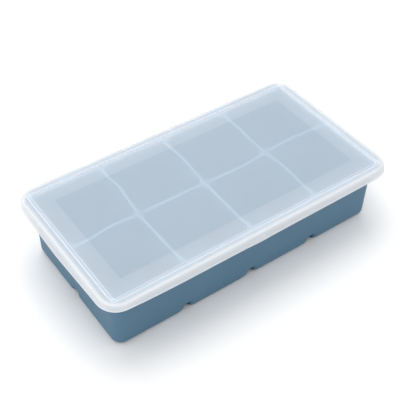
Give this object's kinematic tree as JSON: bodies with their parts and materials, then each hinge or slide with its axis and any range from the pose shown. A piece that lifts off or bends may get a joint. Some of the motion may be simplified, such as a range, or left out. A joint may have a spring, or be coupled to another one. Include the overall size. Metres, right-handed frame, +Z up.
{
  "type": "silicone ice cube tray with lid",
  "caption": "Flexible silicone tray of deep square cavities for large ice cubes, with rounded cups underneath and a frosted snap-over lid with a raised rib.",
  "frame": {"origin": "on the resting plane, under the middle of the tray and lid", "axes": "+X along the long side, +Y towards the back long side, +Z up through the lid"},
  "size_m": [0.2268, 0.122, 0.0492],
  "materials": {
    "blue_silicone": "matte muted blue silicone",
    "frosted_plastic": "frosted translucent plastic"
  },
  "bodies": {
    "root": {"tray": "blue_silicone", "lid": "frosted_plastic"}
  },
  "joints": []
}
